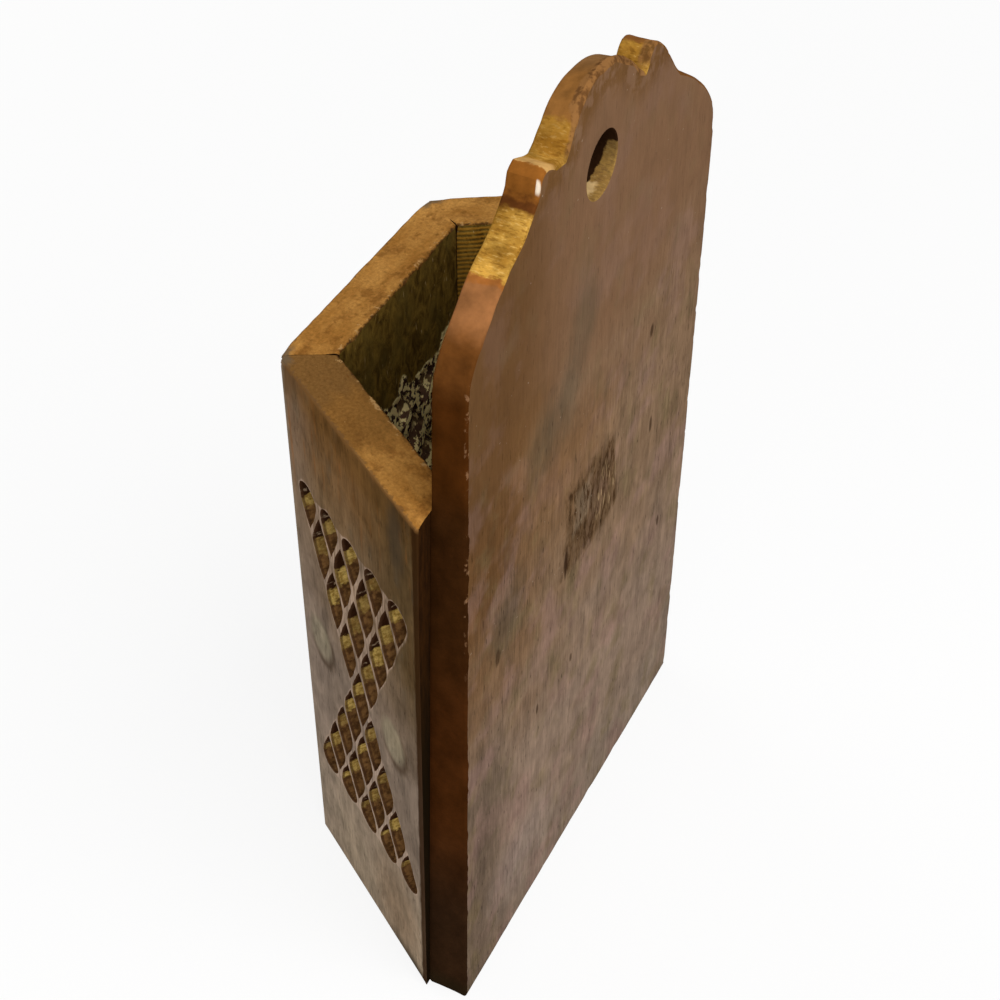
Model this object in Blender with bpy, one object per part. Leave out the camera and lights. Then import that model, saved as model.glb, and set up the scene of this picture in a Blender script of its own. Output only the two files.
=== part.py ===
"""Hanging matchbox holder: a board with a shaped crest, and an open box of pierced walls on its front.

Units are metres, +Z up. The hanging board's back face looks along +Y, the box stands out along -Y,
and the holder stands on Z = 0 with the middle of its bounding box over the origin.
"""

import math

import bmesh
import bpy
from mathutils import Vector

# Hanging board, which thins from its foot to its crest
TOTAL_HEIGHT = 0.2006
SHOULDER_HEIGHT = 0.165
BOARD_FOOT_WIDTH = 0.108
BOARD_SHOULDER_WIDTH = 0.1027
BOARD_FOOT_THICKNESS = 0.009
BOARD_TOP_THICKNESS = 0.006
BOARD_ARRIS = 0.0006

# Hanging hole
HOLE_DIAMETER = 0.012
HOLE_BELOW_TOP = 0.0191
HOLE_OFFSET = 0.0028

# Box
RIM_HEIGHT = 0.14
OVERALL_DEPTH = 0.0512
FRONT_WIDTH = 0.0564
SIDE_WALL_ANGLE = math.radians(57.3)
WALL_THICKNESS = 0.0095
CORNER_ROUND = 0.0022
FLOOR_THICKNESS = 0.008
GLUE_GAP = 0.0003

# Pierced lattice: rows of pointed cells that narrow to one cell at the waist and widen again
CELLS_IN_END_ROW = 5
CELL_PITCH = 0.00905
LOWER_ROW_STEP = 0.0096
UPPER_ROW_STEP = 0.0102
CELL_WIDTH = 0.0068
CELL_HEIGHT = 0.0156
END_ROW_CAP_HEIGHT = 0.003
BLIND_CELL_DEPTH = 0.0055

# Cuts run past the wood by this much
OVERRUN = 0.002

# Length of the straight steps that make up the crest's curves
CREST_FACET = 0.0013

# Counts
HOLE_SIDES = 32
CORNER_STEPS = 4
CELL_QUARTER_STEPS = 3
ARRIS_SEGMENTS = 2

# How full a cell's side swells between its points: 1 is a straight-sided diamond, 2 a round arc
CELL_FULLNESS = 1.4

# The top of the crest was sawn on a slant: at the front it is drawn in towards the hanging hole by up to
# this share, and not at all below the given share of the crest's rise
CREST_SLANT_SHARE = 0.15
CREST_SLANT_START_SHARE = 0.72

# Crest from the +X shoulder to the -X shoulder, as hand sawn, so the two sides differ a little.
# Each run is one smooth curve, and runs meet in a corner. A point is its distance from the middle as a
# share of half the shoulder width, and its rise as a share of the way from the shoulder to the top.
CREST_RUN_SHARES = (
    (
        (1.0, 0.0), (0.985, 0.12), (0.93, 0.235), (0.86, 0.325), (0.76, 0.455), (0.64, 0.548),
        (0.57, 0.63), (0.53, 0.7), (0.52, 0.77), (0.48, 0.805),
    ),
    ((0.48, 0.805), (0.4, 0.755), (0.326, 0.722)),
    (
        (0.326, 0.722), (0.306, 0.812), (0.245, 0.927), (0.16, 0.992), (0.09, 1.0), (-0.01, 0.98),
        (-0.116, 0.902), (-0.2, 0.805), (-0.272, 0.711),
    ),
    (
        (-0.272, 0.711), (-0.31, 0.79), (-0.36, 0.808), (-0.435, 0.73), (-0.505, 0.615),
        (-0.57, 0.505), (-0.64, 0.43), (-0.773, 0.295), (-0.885, 0.154), (-0.97, -0.01), (-1.0, -0.2),
    ),
)

WOOD_FINISH = {
    "back_board": ((0.20, 0.115, 0.07, 1.0), 0.5),
    "front_wall": ((0.22, 0.12, 0.06, 1.0), 0.5),
    "right_wall": ((0.19, 0.12, 0.075, 1.0), 0.5),
    "left_wall": ((0.19, 0.12, 0.075, 1.0), 0.5),
    "bottom_board": ((0.26, 0.16, 0.08, 1.0), 0.6),
}

# Places worked out from the sizes above
BACK_Y = OVERALL_DEPTH / 2
BOX_FRONT_Y = BACK_Y - OVERALL_DEPTH
HOLE_CENTRE = Vector((HOLE_OFFSET, TOTAL_HEIGHT - HOLE_BELOW_TOP))
WALL_ALONG = Vector((math.cos(SIDE_WALL_ANGLE), math.sin(SIDE_WALL_ANGLE)))
WALL_INWARD = Vector((-WALL_ALONG.y, WALL_ALONG.x))
MITRE_SHIFT = math.tan(SIDE_WALL_ANGLE / 2)
OUTER_CORNER = Vector((FRONT_WIDTH / 2, BOX_FRONT_Y))
INNER_CORNER = OUTER_CORNER + WALL_THICKNESS * Vector((-MITRE_SHIFT, 1))


def clear_scene():
    for old in list(bpy.data.objects):
        bpy.data.objects.remove(old, do_unlink=True)


def board_front_y(height):
    """The board's front face at a height. The board stands plumb at the back and thins upwards."""
    share = height / TOTAL_HEIGHT
    thickness = BOARD_FOOT_THICKNESS + share * (BOARD_TOP_THICKNESS - BOARD_FOOT_THICKNESS)
    return BACK_Y - thickness


def wood_material(name):
    colour, roughness = WOOD_FINISH[name]
    material = bpy.data.materials.new(name)
    material.use_nodes = True
    shader = material.node_tree.nodes["Principled BSDF"]
    shader.inputs["Base Color"].default_value = colour
    shader.inputs["Roughness"].default_value = roughness
    shader.inputs["Metallic"].default_value = 0.0
    material.diffuse_color = colour
    return material


def new_object(name, mesh, material=None):
    piece = bpy.data.objects.new(name, mesh)
    bpy.context.scene.collection.objects.link(piece)
    if material:
        mesh.materials.append(material)
    return piece


def joined_rings(shape, low_ring, high_ring):
    """Adds a closed solid between two rings of points that match one to one, and returns its caps."""
    low = [shape.verts.new(point) for point in low_ring]
    high = [shape.verts.new(point) for point in high_ring]
    caps = [shape.faces.new(low), shape.faces.new(high)]
    for index in range(len(low)):
        following = (index + 1) % len(low)
        shape.faces.new((low[index], low[following], high[following], high[index]))
    return caps


def finished_mesh(name, shape):
    bmesh.ops.recalc_face_normals(shape, faces=shape.faces)
    mesh = bpy.data.meshes.new(name)
    shape.to_mesh(mesh)
    shape.free()
    return mesh


def upright_mesh(name, plan_at, height):
    """A board that stands on Z = 0, where plan_at gives its plan at a height."""
    shape = bmesh.new()
    joined_rings(
        shape,
        [(x, y, 0) for x, y in plan_at(0)],
        [(x, y, height) for x, y in plan_at(height)],
    )
    return finished_mesh(name, shape)


def cut(piece, cutter):
    """Cuts a guide out of a piece and hides the guide."""
    cutter.hide_render = True
    cutter.display_type = "WIRE"
    modifier = piece.modifiers.new("Cut", "BOOLEAN")
    modifier.operation = "DIFFERENCE"
    modifier.solver = "EXACT"
    modifier.object = cutter


def smooth_run(points):
    """Points of a smooth curve through a run of points, without the last one."""
    before = 2 * points[0] - points[1]
    after = 2 * points[-1] - points[-2]
    padded = [before, *points, after]
    curve = []
    for a, b, c, d in zip(padded, padded[1:], padded[2:], padded[3:]):
        steps = max(1, round((c - b).length / CREST_FACET))
        for step in range(steps):
            t = step / steps
            curve.append(
                b + t * (c - a) / 2
                + t * t * (2 * a - 5 * b + 4 * c - d) / 2
                + t * t * t * (3 * b - a - 3 * c + d) / 2
            )
    return curve


def board_outline():
    """The board's outline as X and Z, from its +X foot over the crest to its -X foot."""
    half_shoulder = BOARD_SHOULDER_WIDTH / 2
    rise = TOTAL_HEIGHT - SHOULDER_HEIGHT
    outline = [Vector((BOARD_FOOT_WIDTH / 2, 0))]
    for run in CREST_RUN_SHARES:
        points = [Vector((across * half_shoulder, SHOULDER_HEIGHT + up * rise)) for across, up in run]
        outline += smooth_run(points)
    outline.append(points[-1])
    outline.append(Vector((-BOARD_FOOT_WIDTH / 2, 0)))
    return outline


def slanted(point):
    """Where the slanting saw cut brings a point of the back outline to at the board's front."""
    start = SHOULDER_HEIGHT + CREST_SLANT_START_SHARE * (TOTAL_HEIGHT - SHOULDER_HEIGHT)
    share = max(0, (point.y - start) / (TOTAL_HEIGHT - start))
    return point.lerp(HOLE_CENTRE, CREST_SLANT_SHARE * share * share)


def make_back_board():
    """The hanging board, sawn from one plank, its arrises eased, with the hanging hole bored through."""
    shape = bmesh.new()
    outline = board_outline()
    caps = joined_rings(
        shape,
        [(x, BACK_Y, z) for x, z in outline],
        [(x, board_front_y(z), z) for x, z in map(slanted, outline)],
    )
    arrises = [edge for cap in caps for edge in cap.edges]
    bmesh.ops.bevel(
        shape,
        geom=arrises,
        offset=BOARD_ARRIS,
        segments=ARRIS_SEGMENTS,
        profile=0.5,
        affect="EDGES",
    )
    board = new_object("back_board", finished_mesh("back_board", shape), wood_material("back_board"))

    drill = bmesh.new()
    turns = [2 * math.pi * side / HOLE_SIDES for side in range(HOLE_SIDES)]
    circle = [HOLE_CENTRE + HOLE_DIAMETER / 2 * Vector((math.cos(turn), math.sin(turn))) for turn in turns]
    joined_rings(
        drill,
        [(x, BACK_Y + OVERRUN, z) for x, z in circle],
        [(x, board_front_y(z) - OVERRUN, z) for x, z in circle],
    )
    cut(board, new_object("hanging_hole_cutter", finished_mesh("hanging_hole_cutter", drill)))
    return board


def corner_arc():
    """The rounded outer corner at +X, from the front wall's face round to the side wall's."""
    reach = CORNER_ROUND * math.tan(SIDE_WALL_ANGLE / 2)
    centre = OUTER_CORNER + Vector((-reach, CORNER_ROUND))
    arc = []
    for step in range(2 * CORNER_STEPS + 1):
        angle = SIDE_WALL_ANGLE * step / (2 * CORNER_STEPS)
        arc.append(centre + CORNER_ROUND * Vector((math.sin(angle), -math.cos(angle))))
    return arc


def along_side_wall(start, y):
    """The point at a Y on a line that runs along the +X side wall through a start."""
    return start + WALL_ALONG * (y - start.y) / WALL_ALONG.y


def side_wall_plan(height, side):
    """A side wall from above: a mitre at the front, and an end that lies flat on the board."""
    glue_line = board_front_y(height) - GLUE_GAP
    mitre_gap = WALL_ALONG * GLUE_GAP / 2
    plan = [point + mitre_gap for point in corner_arc()[CORNER_STEPS:]]
    plan.append(along_side_wall(OUTER_CORNER, glue_line))
    plan.append(along_side_wall(INNER_CORNER, glue_line))
    plan.append(INNER_CORNER + mitre_gap)
    return [(side * point.x, point.y) for point in plan]


def front_wall_plan(_height):
    """The front wall from above, mitred at both ends."""
    mitre_gap = Vector((-GLUE_GAP / 2, 0))
    right = [point + mitre_gap for point in corner_arc()[: CORNER_STEPS + 1]]
    right.append(INNER_CORNER + mitre_gap)
    return [(point.x, point.y) for point in right] + [(-point.x, point.y) for point in reversed(right)]


def bottom_board_plan(height):
    """The floor from above, let in between the walls and the board."""
    front = INNER_CORNER.y + GLUE_GAP
    back = board_front_y(height) - GLUE_GAP
    side_gap = GLUE_GAP / WALL_ALONG.y
    half_front = along_side_wall(INNER_CORNER, front).x - side_gap
    half_back = along_side_wall(INNER_CORNER, back).x - side_gap
    return [(-half_front, front), (half_front, front), (half_back, back), (-half_back, back)]


def cell_outline(centre, cap_side):
    """One pierced cell: pointed at both ends, or round at the end that cap_side gives as 1 or -1."""
    half_width = CELL_WIDTH / 2
    outline = []
    for side in (1, -1):
        for step in range(2 * CELL_QUARTER_STEPS):
            up = side * (step / CELL_QUARTER_STEPS - 1)
            if up * cap_side > 0:
                across = half_width * math.cos(up * math.pi / 2)
                rise = END_ROW_CAP_HEIGHT * math.sin(up * math.pi / 2)
            else:
                across = half_width * (1 - abs(up) ** CELL_FULLNESS)
                rise = up * CELL_HEIGHT / 2
            outline.append(centre + Vector((side * across, rise)))
    return outline


def lattice_cells():
    """Each cell as its centre, from the middle of the wall, and the side on which it is round."""
    cells = []
    last_row = CELLS_IN_END_ROW - 1
    for row in range(-last_row, last_row + 1):
        cap_side = row // last_row if abs(row) == last_row else 0
        up = row * (UPPER_ROW_STEP if row > 0 else LOWER_ROW_STEP)
        for index in range(abs(row) + 1):
            across = (index - abs(row) / 2) * CELL_PITCH
            cells.append((Vector((across, up)), cap_side))
    return cells


def cut_lattice(wall, middle, along, inward, clear_half_width):
    """Cuts the cells into a wall. A cell that would run out through a sloping end stays blind."""
    shape = bmesh.new()
    for centre, cap_side in lattice_cells():
        runs_out = abs(centre.x) + CELL_WIDTH / 2 > clear_half_width
        depth = BLIND_CELL_DEPTH if runs_out else WALL_THICKNESS + OVERRUN
        rings = []
        for into_wood in (-OVERRUN, depth):
            ring = []
            for across, up in cell_outline(centre, cap_side):
                place = middle + across * along + into_wood * inward
                ring.append((place.x, place.y, RIM_HEIGHT / 2 + up))
            rings.append(ring)
        joined_rings(shape, *rings)
    name = f"{wall.name}_lattice_cutter"
    cut(wall, new_object(name, finished_mesh(name, shape)))


def make_front_wall():
    mesh = upright_mesh("front_wall", front_wall_plan, RIM_HEIGHT)
    wall = new_object("front_wall", mesh, wood_material("front_wall"))
    cut_lattice(wall, Vector((0, BOX_FRONT_Y)), Vector((1, 0)), Vector((0, 1)), INNER_CORNER.x)
    return wall


def make_side_wall(name, side):
    """A side wall, at +X or, where side is -1, at -X."""
    mesh = upright_mesh(name, lambda height: side_wall_plan(height, side), RIM_HEIGHT)
    wall = new_object(name, mesh, wood_material(name))
    outer_end = along_side_wall(OUTER_CORNER, board_front_y(RIM_HEIGHT / 2))
    middle = (OUTER_CORNER + outer_end) / 2
    half_length = (outer_end - OUTER_CORNER).length / 2
    slope = max(MITRE_SHIFT, 1 / math.tan(SIDE_WALL_ANGLE))
    mirror = Vector((side, 1))
    cut_lattice(
        wall,
        middle * mirror,
        WALL_ALONG * mirror,
        WALL_INWARD * mirror,
        half_length - WALL_THICKNESS * slope,
    )
    return wall


def make_bottom_board():
    mesh = upright_mesh("bottom_board", bottom_board_plan, FLOOR_THICKNESS)
    return new_object("bottom_board", mesh, wood_material("bottom_board"))


def main():
    clear_scene()
    make_back_board()
    make_front_wall()
    make_side_wall("right_wall", 1)
    make_side_wall("left_wall", -1)
    make_bottom_board()


main()
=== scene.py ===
"""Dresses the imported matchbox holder: worn, stained wood with sawn edges, pierced walls and a shaped crest.

Lengths are in metres. +Y is the side of the board that hangs on a wall, and the box stands out along -Y.
"""

import math

import bmesh
import bpy
from mathutils import Matrix, Vector, geometry, noise


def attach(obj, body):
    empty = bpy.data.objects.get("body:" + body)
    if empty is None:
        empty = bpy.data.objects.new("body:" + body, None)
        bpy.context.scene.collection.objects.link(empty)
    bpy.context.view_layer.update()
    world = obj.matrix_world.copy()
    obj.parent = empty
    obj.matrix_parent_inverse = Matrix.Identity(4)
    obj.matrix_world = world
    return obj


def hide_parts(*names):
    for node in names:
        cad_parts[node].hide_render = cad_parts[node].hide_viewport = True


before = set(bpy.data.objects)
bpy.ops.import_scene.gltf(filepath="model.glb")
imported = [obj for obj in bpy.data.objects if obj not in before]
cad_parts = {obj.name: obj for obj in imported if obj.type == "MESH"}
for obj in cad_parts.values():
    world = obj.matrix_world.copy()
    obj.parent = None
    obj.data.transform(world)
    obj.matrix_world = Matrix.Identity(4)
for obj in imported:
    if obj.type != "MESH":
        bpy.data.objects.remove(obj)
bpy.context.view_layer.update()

MM = 0.001

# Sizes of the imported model
TOTAL_HEIGHT = 200.6 * MM
SHOULDER_HEIGHT = 165 * MM
CREST_RISE = TOTAL_HEIGHT - SHOULDER_HEIGHT
BOARD_FOOT_WIDTH = 108 * MM
BOARD_SHOULDER_WIDTH = 102.7 * MM
BOARD_FOOT_THICKNESS = 9 * MM
BOARD_TOP_THICKNESS = 6 * MM
HOLE_RADIUS = 6 * MM
HOLE_CENTRE = Vector((2.8, 181.5)) * MM
RIM_HEIGHT = 140 * MM
OVERALL_DEPTH = 51.2 * MM
FRONT_WIDTH = 56.4 * MM
SIDE_WALL_ANGLE = math.radians(57.3)
WALL_THICKNESS = 9.5 * MM
CORNER_ROUND = 2.2 * MM
FLOOR_THICKNESS = 8 * MM
GLUE_GAP = 0.3 * MM
CELLS_IN_END_ROW = 5
CELL_PITCH = 9.05 * MM
LOWER_ROW_STEP = 9.6 * MM
UPPER_ROW_STEP = 10.2 * MM
CELL_WIDTH = 6.8 * MM
CELL_HEIGHT = 15.6 * MM
END_ROW_CAP_HEIGHT = 3 * MM
BLIND_CELL_DEPTH = 5.5 * MM
CELL_FULLNESS = 1.4
CREST_SLANT_START_SHARE = 0.72
CREST_RUN_SHARES = (
    (
        (1, 0), (0.985, 0.12), (0.93, 0.235), (0.86, 0.325), (0.76, 0.455), (0.64, 0.548),
        (0.57, 0.63), (0.53, 0.7), (0.52, 0.77), (0.48, 0.805),
    ),
    ((0.48, 0.805), (0.4, 0.755), (0.344, 0.732)),
    (
        (0.344, 0.732), (0.322, 0.765), (0.306, 0.812), (0.245, 0.927), (0.16, 0.992), (0.09, 1), (-0.01, 0.98),
        (-0.116, 0.902), (-0.2, 0.805), (-0.272, 0.711),
    ),
    (
        (-0.272, 0.711), (-0.31, 0.79), (-0.36, 0.808), (-0.435, 0.73), (-0.505, 0.615),
        (-0.57, 0.505), (-0.64, 0.43), (-0.773, 0.295), (-0.885, 0.154), (-0.97, -0.01), (-1, -0.2),
    ),
)

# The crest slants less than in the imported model, and the notch beside the hump widens towards the box
CREST_SLANT_SHARE = 0.1
NOTCH_CORNER = Vector((17.7, 191.1)) * MM
NOTCH_FLARE = Vector((1.4, 0.5)) * MM
NOTCH_FLARE_REACH = 4.5 * MM

BACK_Y = OVERALL_DEPTH / 2
BOX_FRONT_Y = BACK_Y - OVERALL_DEPTH
MITRE_ANGLE = SIDE_WALL_ANGLE / 2
SEAM = GLUE_GAP / 3
QUARTER_TURN = math.pi / 2
TOLERANCE = 0.01 * MM
OUTER_CORNER = Vector((FRONT_WIDTH / 2, BOX_FRONT_Y))
WALL_ALONG = Vector((math.cos(SIDE_WALL_ANGLE), math.sin(SIDE_WALL_ANGLE)))
WALL_INWARD = Vector((-WALL_ALONG.y, WALL_ALONG.x))

# Detail of the meshes
EDGE_STEP = 1.2 * MM
WORN_EDGE_STEP = 0.8 * MM
WALL_STEPS = (2 * EDGE_STEP, 2 * EDGE_STEP, WORN_EDGE_STEP, 2 * EDGE_STEP)
FACE_STEP = 3.5 * MM
FACE_UNEVENNESS = 0.05 * MM
ARRIS_STEPS = 3
HOLE_SIDES = 48
CELL_QUARTER_STEPS = 7
DEPTH_STEPS = 4
SHARP_ANGLE = math.radians(38)


def board_thickness(height):
    return BOARD_FOOT_THICKNESS + height / TOTAL_HEIGHT * (BOARD_TOP_THICKNESS - BOARD_FOOT_THICKNESS)


def wobble(place, size, seed):
    """Smooth noise from -1 to 1 with waves of about that many millimetres."""
    return noise.noise(Vector(place) / (size * MM) + Vector((seed * 7.3, seed * 3.1, seed * 5.7)))


def closed_steps(corners, *steps):
    """A closed path through the corners, in about these steps. They serve the sides in turn."""
    path = []
    for side, (start, end) in enumerate(zip(corners, corners[1:] + corners[:1])):
        count = max(1, round((end - start).length / steps[side % len(steps)]))
        path += [start.lerp(end, index / count) for index in range(count)]
    return path


def smooth_run(points):
    """Points of a smooth curve through a run of points, without the last one."""
    padded = [2 * points[0] - points[1], *points, 2 * points[-1] - points[-2]]
    curve = []
    for a, b, c, d in zip(padded, padded[1:], padded[2:], padded[3:]):
        count = max(1, round((c - b).length / EDGE_STEP))
        for index in range(count):
            t = index / count
            curve.append(
                b + t * (c - a) / 2
                + t * t * (2 * a - 5 * b + 4 * c - d) / 2
                + t * t * t * (3 * b - a - 3 * c + d) / 2
            )
    return curve


def signed_area(loop):
    return sum(a.x * b.y - b.x * a.y for a, b in zip(loop, loop[1:] + loop[:1])) / 2


def into_wood(loop, is_hole):
    """For each point of a loop, the sideways move that takes it one metre into the wood."""
    turn = 1 if (signed_area(loop) > 0) != is_hole else -1
    moves = []
    for before, here, after in zip(loop[-1:] + loop[:-1], loop, loop[1:] + loop[:1]):
        sides = ((here - before).normalized(), (after - here).normalized())
        normals = [Vector((-side.y, side.x)) * turn for side in sides]
        middle = (normals[0] + normals[1]).normalized()
        moves.append(middle / max(0.5, middle.dot(normals[0])))
    return moves


def is_inside(point, loop):
    inside = False
    for a, b in zip(loop, loop[1:] + loop[:1]):
        if (a.y > point.y) != (b.y > point.y) and point.x < a.x + (point.y - a.y) / (b.y - a.y) * (b.x - a.x):
            inside = not inside
    return inside


class Edge:
    """One loop of a piece's outline or of an opening in it, worked out level by level through the wood."""

    def __init__(self, front, back, is_hole=False, blind=None):
        self.front = front
        self.back = back
        self.is_hole = is_hole
        self.blind = blind
        self.front_moves = into_wood(front, is_hole)
        self.back_moves = into_wood(back, is_hole)
        self.front_round = self.back_round = lambda place: 0.4 * MM
        self.back_tear = lambda place: 1
        self.rough = lambda place: 0.06 * MM
        self.corner = None
        self.local = [(0, 0, 0)] * len(front)
        self.kind_at = lambda index, level: 3 if is_hole else 2

    def levels(self, thickness_at, seed):
        """Lists of (across, depth, up) points, from the front face to the back face."""

        def rounded(point, move, radius, share):
            place = point + move * radius * (1 - math.sin(QUARTER_TURN * share))
            return place, radius * (1 - math.cos(QUARTER_TURN * share))

        def in_front(point, move, share):
            place, depth = rounded(point, move, self.front_round(point), share)
            return self.corner(point, place, depth, share) if self.corner else (place, depth)

        def between(first, last, move, share):
            full = self.blind or thickness_at(first.y)
            start = self.front_round(first)
            end = 0 if self.blind else self.back_round(last) * self.back_tear(last)
            depth = start + (full - start - end) * share
            place = first.lerp(last, depth / thickness_at(first.y))
            sway = self.rough(first) * (1 + wobble((place.x, depth, place.y), 2, seed))
            return place + move * sway, depth

        def behind(point, move, share):
            place, depth = rounded(point, move, self.back_round(point), share)
            return place, thickness_at(point.y) - depth * self.back_tear(point)

        arris = [step / ARRIS_STEPS for step in range(ARRIS_STEPS + 1)]
        inner = [step / DEPTH_STEPS for step in range(1, DEPTH_STEPS)]
        stages = [
            (in_front, arris, (self.front, self.front_moves)),
            (between, inner, (self.front, self.back, self.front_moves)),
        ]
        if not self.blind:
            stages.append((behind, reversed(arris), (self.back, self.back_moves)))
        rings = []
        for bend, shares, loops in stages:
            for share in shares:
                bent = [bend(*point, share) for point in zip(*loops)]
                rings.append([(place.x, depth, place.y) for place, depth in bent])
        if self.blind:
            rings.append([(across, self.blind, up) for across, _, up in rings[-1]])
        return rings


def fill_face(outer, holes):
    """Triangles between an outer loop and its holes, with extra points inside for a slightly uneven face."""
    points = list(outer)
    sides = [(index, (index + 1) % len(outer)) for index in range(len(outer))]
    for hole in holes:
        first = len(points)
        points += hole
        sides += [(first + index, first + (index + 1) % len(hole)) for index in range(len(hole))]
    on_edges = len(points)
    xs = [point.x for point in outer]
    ys = [point.y for point in outer]

    def in_wood(place):
        return is_inside(place, outer) and not any(is_inside(place, hole) for hole in holes)

    for row in range(1, int((max(ys) - min(ys)) / FACE_STEP)):
        for column in range(1, int((max(xs) - min(xs)) / FACE_STEP)):
            place = Vector((min(xs) + (column + 0.5 * (row % 2)) * FACE_STEP, min(ys) + row * FACE_STEP))
            if in_wood(place) and min((place - other).length for other in points[:on_edges]) > 0.6 * FACE_STEP:
                points.append(place)
    found, _, faces, origins, _, _ = geometry.delaunay_2d_cdt(points, sides, [], 1, 1e-9)
    triangles = []
    for face in faces:
        if in_wood(sum((found[index] for index in face), Vector((0, 0))) / len(face)):
            triangles.append([origins[index][0] for index in face])
    return points[on_edges:], triangles


def build_piece(name, edges, thickness_at, to_space, materials, seed):
    """A closed mesh from its edge loops. Face materials: 0 front, 1 back, 2 edge or rim, 3 openings, 4 ends."""
    points = []
    faces = []
    kinds = []
    front_rings = []
    back_rings = []
    for number, edge in enumerate(edges):
        rings = edge.levels(thickness_at, seed + number)
        starts = []
        for ring in rings:
            starts.append(len(points))
            points += [(place, own, edge.is_hole) for place, own in zip(ring, edge.local)]
        size = len(rings[0])
        for level, (start, following) in enumerate(zip(starts, starts[1:])):
            for index in range(size):
                other = (index + 1) % size
                faces.append([start + index, start + other, following + other, following + index])
                kinds.append(edge.kind_at(index, level))
        front_rings.append((starts[0], rings[0]))
        if edge.blind:
            faces.append([starts[-1] + index for index in range(size)])
            kinds.append(3)
        else:
            back_rings.append((starts[-1], rings[-1]))
    for kind, rings in ((0, front_rings), (1, back_rings)):
        loops = [[Vector((across, up)) for across, _, up in ring] for _, ring in rings]
        extra, triangles = fill_face(loops[0], loops[1:])
        numbers = [start + index for start, ring in rings for index in range(len(ring))]
        numbers += [len(points) + index for index in range(len(extra))]
        for point in extra:
            sink = FACE_UNEVENNESS * (1 + wobble((point.x, kind, point.y), 18, seed))
            depth = sink if kind == 0 else thickness_at(point.y) - sink
            points.append(((point.x, depth, point.y), (0, 0, 0), False))
        faces += [[numbers[index] for index in triangle] for triangle in triangles]
        kinds += [kind] * len(triangles)
    places, local, near_opening = zip(*points)
    mesh = bpy.data.meshes.new(name)
    mesh.from_pydata([to_space(*place) for place in places], [], faces)
    mesh.polygons.foreach_set("material_index", kinds)
    for attribute, values in (("wood", [[value / MM for value in place] for place in places]), ("own", local)):
        data = mesh.attributes.new(attribute, "FLOAT_VECTOR", "POINT").data
        data.foreach_set("vector", [value for triple in values for value in triple])
    mesh.attributes.new("opening", "FLOAT", "POINT").data.foreach_set("value", near_opening)
    for material in materials:
        mesh.materials.append(material)
    shape = bmesh.new()
    shape.from_mesh(mesh)
    bmesh.ops.recalc_face_normals(shape, faces=shape.faces)
    shape.to_mesh(mesh)
    shape.free()
    mesh.polygons.foreach_set("use_smooth", [True] * len(mesh.polygons))
    mesh.set_sharp_from_angle(angle=SHARP_ANGLE)
    mesh.validate()
    mesh.update()
    return add_to_scene(name, mesh)


def add_to_scene(name, data):
    thing = bpy.data.objects.new(name, data)
    bpy.context.scene.collection.objects.link(thing)
    return thing


# The hanging board


def board_outline():
    half = BOARD_SHOULDER_WIDTH / 2
    outline = []
    for run in CREST_RUN_SHARES:
        points = [Vector((across * half, SHOULDER_HEIGHT + up * CREST_RISE)) for across, up in run]
        outline += smooth_run(points)
    outline.append(points[-1])
    feet = [Vector((-BOARD_FOOT_WIDTH / 2, 0)), Vector((BOARD_FOOT_WIDTH / 2, 0))]
    lower = closed_steps([points[-1], *feet, outline[0]], WORN_EDGE_STEP, 2 * EDGE_STEP)
    return outline + lower[1:lower.index(outline[0])]


def nearest(outline, place):
    return min(range(len(outline)), key=lambda index: (outline[index] - place).length)


def outline_lengths(outline):
    """How far round the outline each point lies, in millimetres, from the middle of the foot up the +X side."""
    start = nearest(outline, Vector((0, 0)))
    lengths = [0.0] * len(outline)
    for step in range(1, len(outline)):
        here = (start + step) % len(outline)
        lengths[here] = lengths[here - 1] + (outline[here] - outline[here - 1]).length / MM
    return lengths


def slanted(point):
    start = SHOULDER_HEIGHT + CREST_SLANT_START_SHARE * CREST_RISE
    share = max(0, (point.y - start) / (TOTAL_HEIGHT - start))
    flare = NOTCH_FLARE * max(0, 1 - (point - NOTCH_CORNER).length / NOTCH_FLARE_REACH)
    return point.lerp(HOLE_CENTRE, CREST_SLANT_SHARE * share * share) + flare


def worn_arris(place):
    """Radius of the board's back arris: small nicks all along it, and more wear round the hump."""
    radius = 0.5 + 0.2 * wobble((place.x, 0, place.y), 9, 2)
    radius += 0.9 * max(0, wobble((place.x, 0, place.y), 2.2, 6) - 0.1)
    if abs(place.x) < 15 * MM and place.y > 191 * MM:
        radius += 0.5 + 0.4 * wobble((place.x, 2, place.y), 3, 7)
    return max(0.2, radius) * MM


def front_arris(place):
    """Radius of the board's arris towards the box: sharp where the walls are glued on."""
    if 0 < place.y < RIM_HEIGHT:
        return 0.1 * MM
    return (0.6 + 0.25 * wobble((place.x, 1, place.y), 9, 3)) * MM


def make_back_board(materials):
    outline = board_outline()
    edge = Edge(outline, [slanted(point) for point in outline])
    edge.local = [(length, 0, 0) for length in outline_lengths(outline)]
    edge.front_round = worn_arris
    edge.back_round = front_arris
    turns = [2 * math.pi * side / HOLE_SIDES for side in range(HOLE_SIDES)]
    circle = [HOLE_CENTRE + HOLE_RADIUS * Vector((math.cos(turn), math.sin(turn))) for turn in turns]
    hole = Edge(circle, circle, is_hole=True)
    hole.front_round = hole.back_round = lambda place: 0.3 * MM

    def to_space(across, depth, up):
        return (across, BACK_Y - depth, up)

    return build_piece("hanging_board", [edge, hole], board_thickness, to_space, materials, 11)


# The pierced walls


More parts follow.
